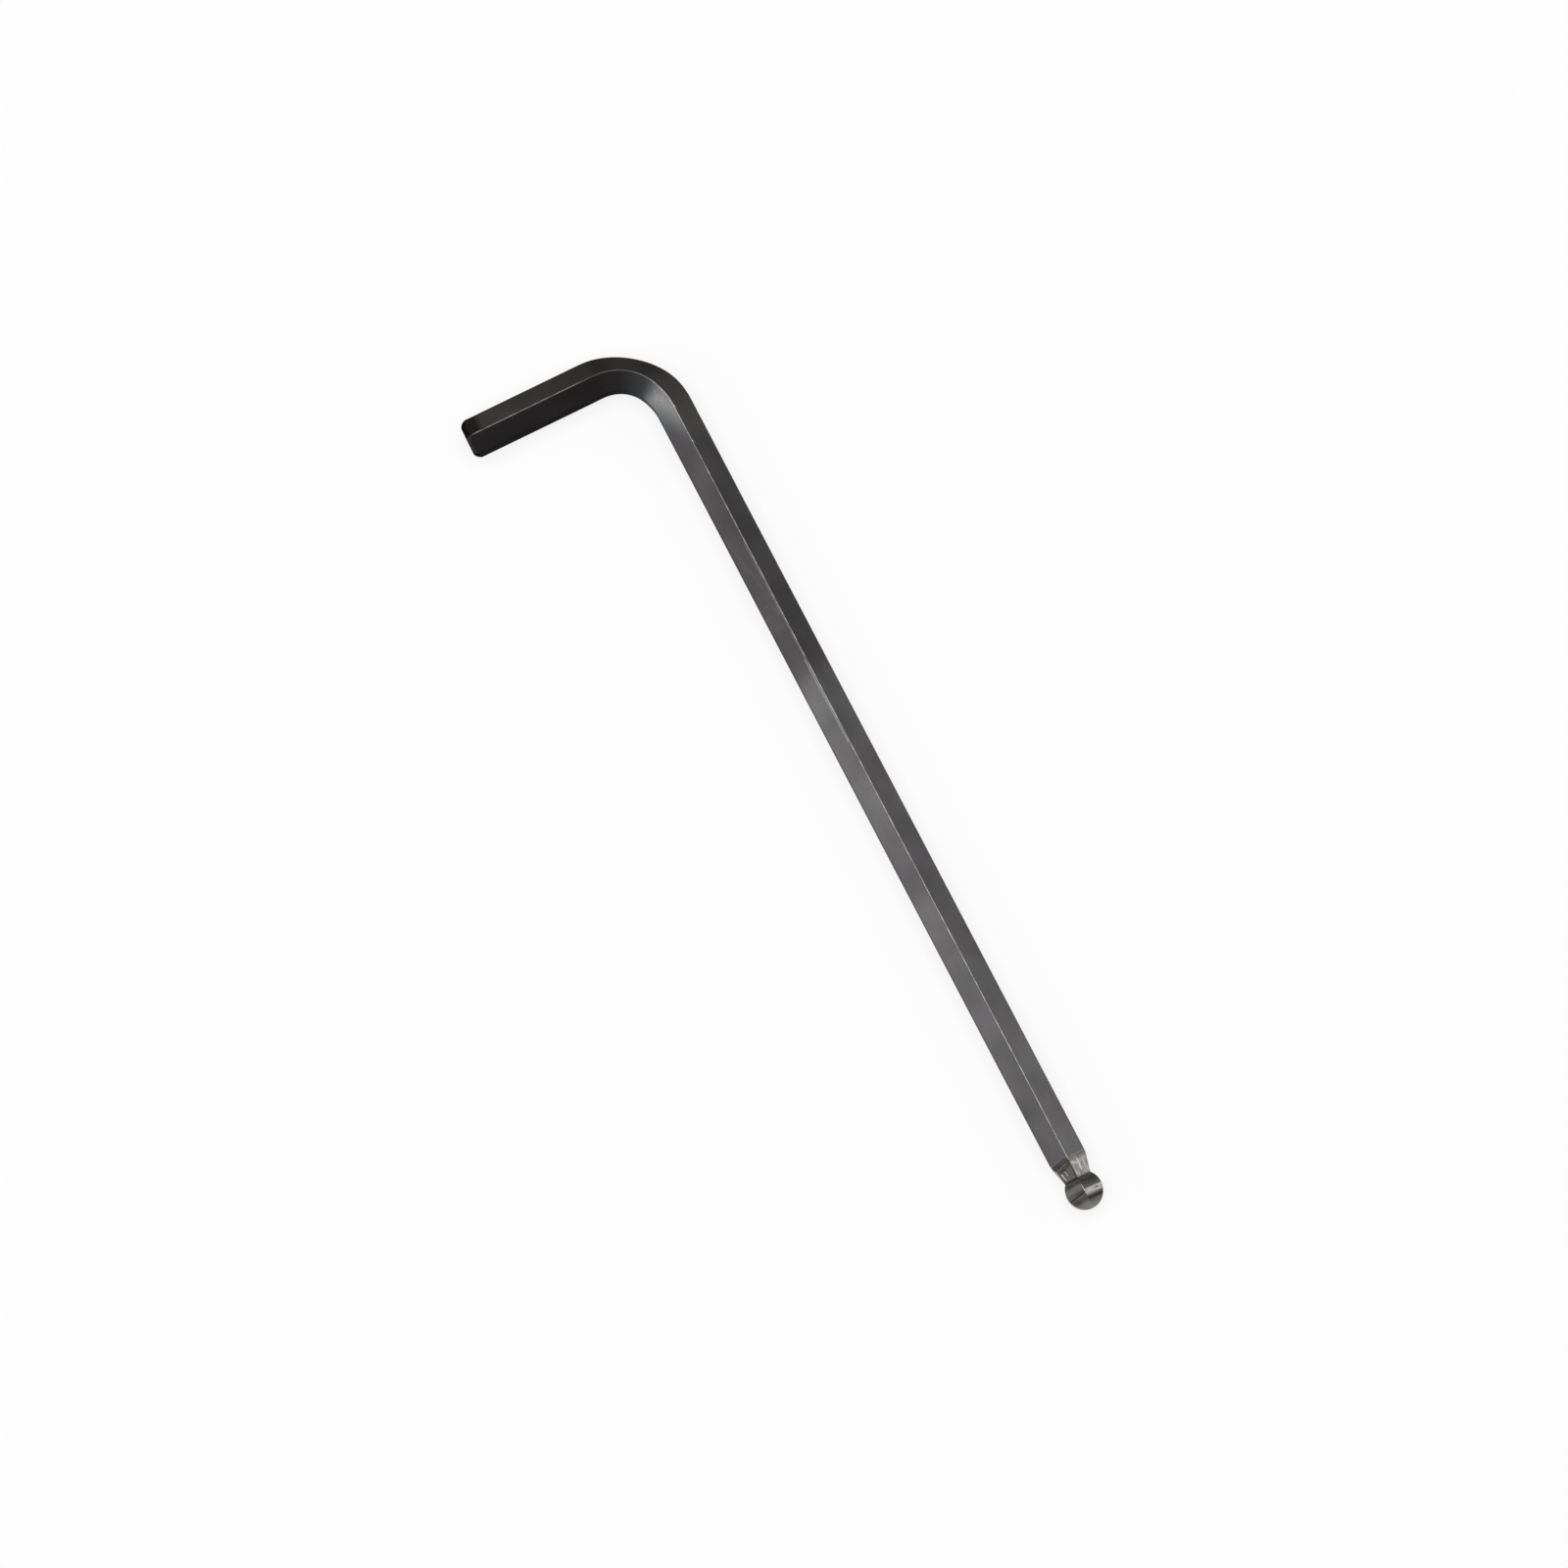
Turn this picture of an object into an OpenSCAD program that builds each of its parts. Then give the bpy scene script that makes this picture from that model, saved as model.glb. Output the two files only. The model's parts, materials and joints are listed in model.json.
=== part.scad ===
// Long-arm hex key with a ball end, bent from one length of hexagon steel bar.
// It lies on a flat surface on the bar's lower corner ridges. The long arm runs along +X and ends
// in the ball; the short arm runs towards -Y and ends in the plain, chamfered hexagon.
// The origin is the middle of the key's outline, on the surface it lies on.

/* [Bar] */
// Width of the hexagon bar across its flats
across_flats = 8; // [5:0.5:12]
// How far the drawn bar's corners fall short of a sharp hexagon
corner_round = 0.07; // [0.02:0.01:0.2]

/* [Arms] */
// Length of the long arm, from the outside of the short arm to the tip of the ball
long_arm = 209.5; // [120:0.5:300]
// Length of the short arm, from the outside of the long arm to its end face
short_arm = 46.5; // [32:0.5:80]
// Angle between the two arms
bend_angle = 91.5; // [90:0.5:110]
// Radius of the bend along the middle of the bar
bend_radius = 13.7; // [9:0.1:20]

/* [Plain end] */
// Length of the chamfer along the short arm, measured at the corners of the hexagon
chamfer_length = 1.1; // [0.3:0.1:3]
// How far in from the corners the chamfer reaches on the end face
chamfer_depth = 1.5; // [0.5:0.1:2]

/* [Ball end] */
// Length of the tapered neck behind the ball
neck_length = 4.6; // [3.5:0.1:8]
// Depth of the neck below each flat where it meets the ball
neck_depth = 1.05; // [0.4:0.01:1.6]
// Radius that eases the flats into the neck
shoulder_radius = 3; // [1:0.5:5]
// How far the crest of the ball stays below the flats, so that it enters a socket freely
ball_relief = 0.02; // [0.01:0.01:0.1]
// How far past the bar's axis the arcs of the ball are struck
ball_offset = 0.2; // [0.1:0.05:0.5]
// Width across the flats of the small facet left at the tip of the ball
tip_facet = 1.2; // [0.6:0.1:2]

/* [Hidden] */
$fn = 96;

// Half the bar across its flats, and its reach at the rounded corners
half_flats = across_flats / 2;
corner_reach = half_flats / cos(30) - corner_round;
// Cutting outlines pass clear of the bar at this distance from its axis
clear_of_bar = across_flats;

// The short arm leans past square by this much
lean = bend_angle - 90;
// The bend turns by this much, and each arm loses this length to it
turn = 180 - bend_angle;
bend_setback = bend_radius * tan(turn / 2);
// Each arm carries its half of the bend, and each half reaches this much past the middle
bend_overlap = turn / 20;
// Each arm's end, measured from where the two axes cross; the other arm's outside lies beyond it
outside_reach = half_flats / cos(lean);
long_end = long_arm - outside_reach;
short_end = short_arm - outside_reach;
// The straight stretch of each arm, from the end of the bend
long_straight = long_end - bend_setback;
short_straight = short_end - bend_setback;

// The flat end face left by the chamfer, and where the chamfer leaves the flats
end_face_radius = corner_reach - chamfer_depth;
chamfer_slope = chamfer_length / chamfer_depth;
chamfer_at_flats = (half_flats - end_face_radius) * chamfer_slope;

// The ball's arcs run from the neck over a crest just below the flats and down to the tip facet
ball_radius = half_flats - ball_relief + ball_offset;
neck_half = half_flats - neck_depth;
ball_centre = long_straight - sqrt(pow(ball_radius, 2) - pow(tip_facet / 2 + ball_offset, 2));
neck_end = ball_centre - sqrt(pow(ball_radius, 2) - pow(neck_half + ball_offset, 2));
neck_start = neck_end - neck_length;
// The shoulder arc turns through this angle before the straight taper starts
shoulder_run = [neck_length, shoulder_radius - neck_depth];
shoulder_turn = atan2(shoulder_run.x, shoulder_run.y) - acos(shoulder_radius / norm(shoulder_run));
shoulder_steps = 6;

// The key's outline in plan, from where the two axes cross
x_max = long_end;
x_min = -(short_end - chamfer_at_flats) * sin(lean) - half_flats * cos(lean);
y_max = half_flats;
y_min = -short_end * cos(lean) - end_face_radius * sin(lean);
plan_middle = [(x_min + x_max) / 2, (y_min + y_max) / 2];

// Section of the bar, a hexagon with rounded corners, a corner up and a flat to each side
module bar_section() {
    intersection() {
        rotate(30) circle(r = half_flats / cos(30), $fn = 6);
        circle(r = corner_reach);
    }
}

// The same section, at the bend's radius from the centre that the bend turns about
module bend_section() {
    translate([bend_radius, 0]) bar_section();
}

// One arm's half of the bend, from the start of the arm to a little past the middle of the bend
module half_bend() {
    rotate_extrude(angle = turn / 2 + bend_overlap) bend_section();
}

// Straight bar running along -Y from its half of the bend
module bar(length) {
    rotate([90, 0, 0]) linear_extrude(length) bend_section();
}

// Puts what is drawn round +Z on the axis of a straight bar, from its start
module on_bar() {
    translate([bend_radius, 0, 0]) rotate([90, 0, 0]) children();
}

// A point on the arc that eases a flat into the neck, at this turn from the flat
function shoulder_point(angle) =
    [neck_start + shoulder_radius * sin(angle), half_flats - shoulder_radius * (1 - cos(angle))];

// Outline across one pair of flats: it passes clear of the shank, then makes the neck and the ball
module milled_outline() {
    clear_side = [[-clear_of_bar, clear_of_bar], [neck_start, clear_of_bar]];
    shoulder = [for (i = [0:shoulder_steps]) shoulder_point(shoulder_turn * i / shoulder_steps)];
    upper_side = concat(clear_side, shoulder, [[neck_end, neck_half]]);
    last = len(upper_side) - 1;
    lower_side = [for (i = [0:last]) [upper_side[last - i].x, -upper_side[last - i].y]];
    polygon(concat(upper_side, lower_side));
    intersection_for (side = [-1, 1])
        translate([ball_centre, side * ball_offset]) circle(r = ball_radius);
}

// Long arm: the bar, with the outline milled across all three pairs of flats
module long_arm_body() {
    intersection() {
        bar(long_straight);
        on_bar() intersection_for (side = [30, 90, 150])
            rotate([0, -90, side]) translate([0, 0, -clear_of_bar])
                linear_extrude(2 * clear_of_bar) milled_outline();
    }
}

// Short arm: the bar, with its end chamfered all round
module short_arm_body() {
    intersection() {
        bar(short_straight);
        on_bar() rotate_extrude() polygon([
            [0, -clear_of_bar],
            [clear_of_bar, -clear_of_bar],
            [clear_of_bar, short_straight - (clear_of_bar - end_face_radius) * chamfer_slope],
            [end_face_radius, short_straight],
            [0, short_straight]
        ]);
    }
}

// An arm with its half of the bend, turned so that the middle of the bend lies towards +X
module arm_with_bend() {
    rotate([0, 0, -turn / 2]) {
        children();
        half_bend();
    }
}

module hex_key() {
    color([0.19, 0.19, 0.19])
        translate([bend_setback - plan_middle.x, -bend_radius - plan_middle.y, corner_reach])
            rotate([0, 0, 90 + turn / 2]) {
                arm_with_bend() long_arm_body();
                mirror([0, 1, 0]) arm_with_bend() short_arm_body();
            }
}

hex_key();
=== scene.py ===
"""Looks of a long-arm hex key with a ball end: black-oxide bar, milled neck and ball, worn ridges.

The key lies on a pale floor on the bar's lower corner ridges, seen from above as in the photograph.
Everything is in metres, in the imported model's own frame: the long arm along +X, the short arm along -Y.
"""

import json
import logging
import math
from collections.abc import Sequence
from dataclasses import dataclass, field
from enum import Enum

import bpy
from mathutils import Euler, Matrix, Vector

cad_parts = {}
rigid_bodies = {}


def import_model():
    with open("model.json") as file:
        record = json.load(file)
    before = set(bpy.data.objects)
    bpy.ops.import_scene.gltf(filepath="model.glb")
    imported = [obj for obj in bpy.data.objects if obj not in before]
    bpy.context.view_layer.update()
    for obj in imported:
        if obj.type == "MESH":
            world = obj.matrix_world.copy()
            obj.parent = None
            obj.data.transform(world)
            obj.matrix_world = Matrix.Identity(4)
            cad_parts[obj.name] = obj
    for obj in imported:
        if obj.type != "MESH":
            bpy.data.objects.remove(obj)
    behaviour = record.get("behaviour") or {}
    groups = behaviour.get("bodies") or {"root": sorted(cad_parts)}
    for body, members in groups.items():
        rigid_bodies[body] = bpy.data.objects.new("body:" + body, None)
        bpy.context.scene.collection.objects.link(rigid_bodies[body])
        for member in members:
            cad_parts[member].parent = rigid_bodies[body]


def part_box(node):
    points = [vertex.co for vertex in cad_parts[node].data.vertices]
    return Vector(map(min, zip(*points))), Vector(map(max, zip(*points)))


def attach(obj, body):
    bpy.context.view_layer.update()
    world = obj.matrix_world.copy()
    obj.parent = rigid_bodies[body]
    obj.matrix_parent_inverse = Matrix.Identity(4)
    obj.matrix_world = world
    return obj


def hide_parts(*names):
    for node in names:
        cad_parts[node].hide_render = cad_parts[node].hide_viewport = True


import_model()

log = logging.getLogger("hex_key")

MM = 0.001
NODE = "hex_key"
BODY = "root"
PLACE = "bar_place"
GAP = "ridge_gap"

Socket = bpy.types.NodeSocket
Value = float | Sequence[float] | Socket


class Side(Enum):
    """The six flats of the bar, by the turn of their outward normal from the outside of the bend."""

    OUTER = 0
    OUTER_UPPER = 1
    INNER_UPPER = 2
    INNER = 3
    INNER_LOWER = 4
    OUTER_LOWER = 5


class Zone(Enum):
    """The parts of the key with a finish of their own, by material index."""

    SHANK = 0
    NECK = 1
    BALL = 2


@dataclass
class Wiring:
    """Adds nodes to one tree and joins them.

    Args:
        tree: the node tree that is wired.
    """

    tree: bpy.types.NodeTree

    def put(self, socket: Socket, value: Value) -> None:
        """Links a socket to another, or sets its value.

        Args:
            socket: the input.
            value: the output that it is linked to, or its value.
        """
        if isinstance(value, Socket):
            self.tree.links.new(value, socket)
        else:
            socket.default_value = value

    def node(
        self, kind: str, inputs: dict[str | int, Value] | None = None, **settings: object
    ) -> bpy.types.Node:
        """Adds one node.

        Args:
            kind: the node's type name.
            inputs: values or sockets for its inputs, by name or number.
            settings: the node's own settings.

        Returns:
            The node.
        """
        node = self.tree.nodes.new(kind)
        for name, value in settings.items():
            setattr(node, name, value)
        for name, value in (inputs or {}).items():
            self.put(node.inputs[name], value)
        return node

    def maths(self, operation: str, *values: Value, clamp: bool = False) -> Socket:
        """Works out one sum of numbers."""
        inputs = dict(enumerate(values))
        return self.node("ShaderNodeMath", inputs, operation=operation, use_clamp=clamp).outputs[0]

    def vector(self, operation: str, *values: Value) -> Socket:
        """Works out one sum of vectors.

        Args:
            operation: which sum.
            values: its inputs.

        Returns:
            The result, a number or a vector.
        """
        node = self.node("ShaderNodeVectorMath", operation=operation)
        for socket, value in zip(node.inputs, values):
            self.put(socket, value)
        return node.outputs["Value" if operation in ("DOT_PRODUCT", "DISTANCE", "LENGTH") else "Vector"]

    def scaled(self, vector: Value, factor: Value) -> Socket:
        """Multiplies a vector by a number."""
        node = self.node("ShaderNodeVectorMath", {0: vector, "Scale": factor}, operation="SCALE")
        return node.outputs["Vector"]

    def ease(self, value: Value, low: Value, high: Value, start: Value = 0.0, end: Value = 1.0) -> Socket:
        """Makes a smooth step.

        Args:
            value: the value that it follows.
            low: the value that it starts at.
            high: the value that it ends at.
            start: what it gives up to low.
            end: what it gives from high on.

        Returns:
            The step.
        """
        return self.node(
            "ShaderNodeMapRange",
            {"Value": value, "From Min": low, "From Max": high, "To Min": start, "To Max": end},
            interpolation_type="SMOOTHSTEP",
        ).outputs["Result"]

    def mix(self, factor: Value, first: Value, second: Value, blend: str = "MIX") -> Socket:
        """Mixes two colours, which are inputs 6 and 7 and output 2 of Blender's node."""
        inputs = {0: factor, 6: first, 7: second}
        return self.node("ShaderNodeMix", inputs, data_type="RGBA", blend_type=blend).outputs[2]

    def noise(self, vector: Value, scale: float = 1.0, detail: float = 2.0, rough: float = 0.5) -> Socket:
        """Adds a noise texture and gives its value, from 0 to 1."""
        inputs = {"Vector": vector, "Scale": scale, "Detail": detail, "Roughness": rough}
        return self.node("ShaderNodeTexNoise", inputs).outputs["Fac"]


def grey(level: float) -> tuple[float, float, float, float]:
    """Gives a neutral colour of this level."""
    return (level, level, level, 1.0)


@dataclass
class SurfaceGroups:
    """The effects that more than one finish uses, each one node group, made once."""

    groups: dict[str, bpy.types.NodeTree] = field(default_factory=dict)

    def start(
        self, name: str, inputs: dict[str, str], outputs: dict[str, str]
    ) -> tuple[Wiring, bpy.types.Node, bpy.types.Node]:
        """Starts a group.

        Args:
            name: the group's name.
            inputs: the kind of each named input.
            outputs: the kind of each named output.

        Returns:
            The wiring, the group's inputs and its outputs.
        """
        tree = bpy.data.node_groups.new(name, "ShaderNodeTree")
        for names, direction in ((inputs, "INPUT"), (outputs, "OUTPUT")):
            for label, kind in names.items():
                tree.interface.new_socket(label, in_out=direction, socket_type=kind)
        self.groups[name] = tree
        wiring = Wiring(tree)
        return wiring, wiring.node("NodeGroupInput"), wiring.node("NodeGroupOutput")

    def build(self) -> None:
        """Makes every group."""
        self.build_mark()
        self.build_band()
        self.build_grain()
        self.build_ridge()
        log.info("surface groups: %s", ", ".join(self.groups))

    def build_mark(self) -> None:
        """Makes the group for a straight mark between two places on one flat."""
        number, place = "NodeSocketFloat", "NodeSocketVector"
        w, given, out = self.start(
            "straight_mark",
            {"Place": place, "From": place, "To": place, "Width": number, "Soft": number, "Broken": number},
            {"Mask": number},
        )
        here, start, end = given.outputs["Place"], given.outputs["From"], given.outputs["To"]
        run = w.vector("SUBTRACT", end, start)
        reach = w.vector("DOT_PRODUCT", w.vector("SUBTRACT", here, start), run)
        share = w.maths("DIVIDE", reach, w.vector("DOT_PRODUCT", run, run), clamp=True)
        nearest = w.vector("ADD", start, w.scaled(run, share))
        gap = w.vector("DISTANCE", here, nearest)
        width = given.outputs["Width"]
        inner = w.maths("MULTIPLY", width, w.maths("SUBTRACT", 1.0, given.outputs["Soft"]))
        mask = w.ease(gap, inner, width, 1.0, 0.0)
        gaps = w.ease(w.noise(here, 900.0, 2.0), 0.38, 0.62)
        kept = w.maths("SUBTRACT", 1.0, w.maths("MULTIPLY", given.outputs["Broken"], gaps))
        w.put(out.inputs["Mask"], w.maths("MULTIPLY", mask, kept))

    def build_band(self) -> None:
        """Makes the group for a soft band round the bar at one distance along it."""
        number = "NodeSocketFloat"
        w, given, out = self.start(
            "soft_band",
            {"Along": number, "Middle": number, "Half Width": number, "Flat": number},
            {"Mask": number},
        )
        gap = w.maths("ABSOLUTE", w.maths("SUBTRACT", given.outputs["Along"], given.outputs["Middle"]))
        width = given.outputs["Half Width"]
        inner = w.maths("MULTIPLY", width, given.outputs["Flat"])
        w.put(out.inputs["Mask"], w.ease(gap, inner, width, 1.0, 0.0))

    def build_grain(self) -> None:
        """Makes the group for the grain along the bar, the fine speckle and the cloudy tone."""
        number, place = "NodeSocketFloat", "NodeSocketVector"
        w, given, out = self.start(
            "drawn_grain",
            {"Place": place, "Stretch": place, "Speck": number, "Cloud": number},
            {"Grain": number, "Speckle": number, "Clouds": number},
        )
        here = given.outputs["Place"]
        lines = w.noise(w.vector("MULTIPLY", here, given.outputs["Stretch"]), 1.0, 3.0, 0.6)
        w.put(out.inputs["Grain"], lines)
        w.put(out.inputs["Speckle"], w.noise(w.scaled(here, given.outputs["Speck"]), 1.0, 2.0, 0.6))
        w.put(out.inputs["Clouds"], w.noise(w.scaled(here, given.outputs["Cloud"]), 1.0, 2.0, 0.45))

    def build_ridge(self) -> None:
        """Makes the group for the line worn bright along a ridge, broken up along its length."""
        number, place = "NodeSocketFloat", "NodeSocketVector"
        w, given, out = self.start(
            "ridge_wear",
            {"Gap": number, "Place": place, "Width": number, "Least": number},
            {"Mask": number},
        )
        along = w.node("ShaderNodeSeparateXYZ", {0: given.outputs["Place"]}).outputs["Y"]
        spot = w.node("ShaderNodeCombineXYZ", {"X": along}).outputs[0]
        coarse, fine = w.noise(spot, 150.0, 2.0), w.noise(spot, 520.0, 1.0)
        amount = w.ease(w.maths("MULTIPLY", coarse, fine), 0.16, 0.36, given.outputs["Least"], 1.0)
        width = w.maths("MULTIPLY", given.outputs["Width"], w.ease(fine, 0.3, 0.7, 0.85, 1.15))
        mask = w.ease(given.outputs["Gap"], w.maths("MULTIPLY", width, 0.35), width, 1.0, 0.0)
        w.put(out.inputs["Mask"], w.maths("MULTIPLY", mask, amount))


@dataclass(frozen=True)
class Mark:
    """A scratch, rub or dark line on one flat.

    Args:
        side: the flat it is on.
        start: its start, across the flat and along the bar, in millimetres.
        end: its end.
        width: half its width in millimetres.
        strength: how much of its colour shows.
        broken: how far it is broken up.
        soft: how much of its width fades out.
    """

    side: Side
    start: tuple[float, float]
    end: tuple[float, float]
    width: float
    strength: float
    broken: float = 0.6
    soft: float = 0.8

    def place(self, spot: tuple[float, float]) -> tuple[float, float, float]:
        """Gives a spot as the mesh's place attribute holds it."""
        return (spot[0] * MM, spot[1] * MM, float(self.side.value))


@dataclass(frozen=True)
class Patch:
    """A stretch of one flat that is paler or darker than the rest.

    Args:
        side: the flat it is on.
        middle: where along the bar it is, in millimetres.
        reach: how far it reaches to each side, in millimetres.
        gain: how much paler it is, less than nothing where it is darker.
    """

    side: Side
    middle: float
    reach: float
    gain: float


@dataclass
class Finish:
    """What every steel finish shares: its place on the bar, its groups and its shader.

    Args:
        name: the material's name.
        groups: the node groups.
        edge_level: how much of its shine it keeps where it is seen edge-on.
        stretch: how fine its grain is across the bar, along it, and from flat to flat.
        speck: how fine its speckle is.
        cloud: how fine its cloudy variation is.
    """

    name: str
    groups: SurfaceGroups
    edge_level: float = 1.0
    stretch: tuple[float, float, float] = (3000.0, 500.0, 31.0)
    speck: float = 4200.0
    cloud: float = 700.0

    def __post_init__(self) -> None:
        """Starts the material."""
        self.material = bpy.data.materials.new(self.name)
        self.material.use_nodes = True
        self.wiring = Wiring(self.material.node_tree)
        self.shader = self.material.node_tree.nodes["Principled BSDF"]
        self.place = self.wiring.node("ShaderNodeAttribute", attribute_name=PLACE).outputs["Vector"]
        self.gap = self.wiring.node("ShaderNodeAttribute", attribute_name=GAP).outputs["Fac"]
        parts = self.wiring.node("ShaderNodeSeparateXYZ", {0: self.place})
        self.across, self.along, self.side = parts.outputs

    def group(self, name: str, inputs: dict[str, Value]) -> bpy.types.Node:
        """Places one of the groups in this material.

        Args:
            name: the group.
            inputs: values or sockets for its inputs, by name.

        Returns:
            The group's node.
        """
        node = self.wiring.node("ShaderNodeGroup", node_tree=self.groups.groups[name])
        for label, value in inputs.items():
            self.wiring.put(node.inputs[label], value)
        return node

    def grain(self) -> tuple[Socket, Socket, Socket]:
        """Gives the grain, the speckle and the clouds."""
        inputs = {"Place": self.place, "Stretch": self.stretch, "Speck": self.speck, "Cloud": self.cloud}
        return tuple(self.group("drawn_grain", inputs).outputs)

    def worn_ridge(self, width: float, least: float) -> Socket:
        """Masks the bright line worn along each ridge, with half its width in millimetres."""
        inputs = {"Gap": self.gap, "Place": self.place, "Width": width * MM, "Least": least}
        return self.group("ridge_wear", inputs).outputs["Mask"]

    def band(self, middle: float, half_width: float, flat: float = 0.2) -> Socket:
        """Masks a band round the bar, with its place and width in millimetres."""
        values = {"Along": self.along, "Middle": middle * MM, "Half Width": half_width * MM, "Flat": flat}
        return self.group("soft_band", values).outputs["Mask"]

    def on_side(self, side: Side) -> Socket:
        """Masks one of the six flats."""
        return self.wiring.maths("COMPARE", self.side, float(side.value), 0.1)

    def step(self, start: float, end: float, before: float = 0.0, after: float = 1.0) -> Socket:
        """Eases from one value to another between two distances along the bar, in millimetres."""
        return self.wiring.ease(self.along, start * MM, end * MM, before, after)

    def times(self, *values: Value) -> Socket:
        """Multiplies numbers.

        Args:
            values: the numbers.

        Returns:
            Their product.
        """
        total = values[0]
        for value in values[1:]:
            total = self.wiring.maths("MULTIPLY", total, value)
        return total

    def less(self, amount: Value) -> Socket:
        """Gives what an amount leaves of one."""
        return self.wiring.maths("SUBTRACT", 1.0, amount)

    def shaded(self, colour: Value, factor: Value) -> Socket:
        """Multiplies a colour by a number."""
        level = self.wiring.node("ShaderNodeCombineXYZ", {0: factor, 1: factor, 2: factor}).outputs[0]
        return self.wiring.mix(1.0, colour, level, "MULTIPLY")

    def patched(self, tone: Value, patches: Sequence[Patch]) -> Socket:
        """Makes a tone paler or darker in patches.

        Args:
            tone: the tone.
            patches: the patches.

        Returns:
            The tone with its patches.
        """
        for patch in patches:
            where = self.times(self.band(patch.middle, patch.reach, 0.05), self.on_side(patch.side))
            tone = self.times(tone, self.wiring.maths("ADD", 1.0, self.times(where, patch.gain)))
        return tone

    def marks(self, marks: Sequence[Mark]) -> Socket:
        """Joins the masks of several marks.

        Args:
            marks: the marks.

        Returns:
            One mask, the strongest of them at each place.
        """
        total: Value = 0.0
        for mark in marks:
            values = {
                "Place": self.place,
                "From": mark.place(mark.start),
                "To": mark.place(mark.end),
                "Width": mark.width * MM,
                "Soft": mark.soft,
                "Broken": mark.broken,
            }
            mask = self.group("straight_mark", values).outputs["Mask"]
            total = self.wiring.maths("MAXIMUM", total, self.wiring.maths("MULTIPLY", mask, mark.strength))
        return total

    def shine(self, colour: Value, roughness: Value, height: Value, depth: float) -> bpy.types.Material:
        """Joins the finish to its shader.

        Args:
            colour: the steel's colour.
            roughness: its roughness.
            height: the height that the bump follows.
            depth: how deep the bump is, in millimetres.

        Returns:
            The material.
        """
        inputs = {"Height": height, "Strength": 1.0, "Distance": depth * MM}
        bump = self.wiring.node("ShaderNodeBump", inputs)
        self.shader.inputs["Metallic"].default_value = 1.0
        self.shader.inputs["Specular Tint"].default_value = grey(self.edge_level)
        self.wiring.put(self.shader.inputs["Base Color"], colour)
        self.wiring.put(self.shader.inputs["Roughness"], roughness)
        self.wiring.put(self.shader.inputs["Normal"], bump.outputs["Normal"])
        return self.material


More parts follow.
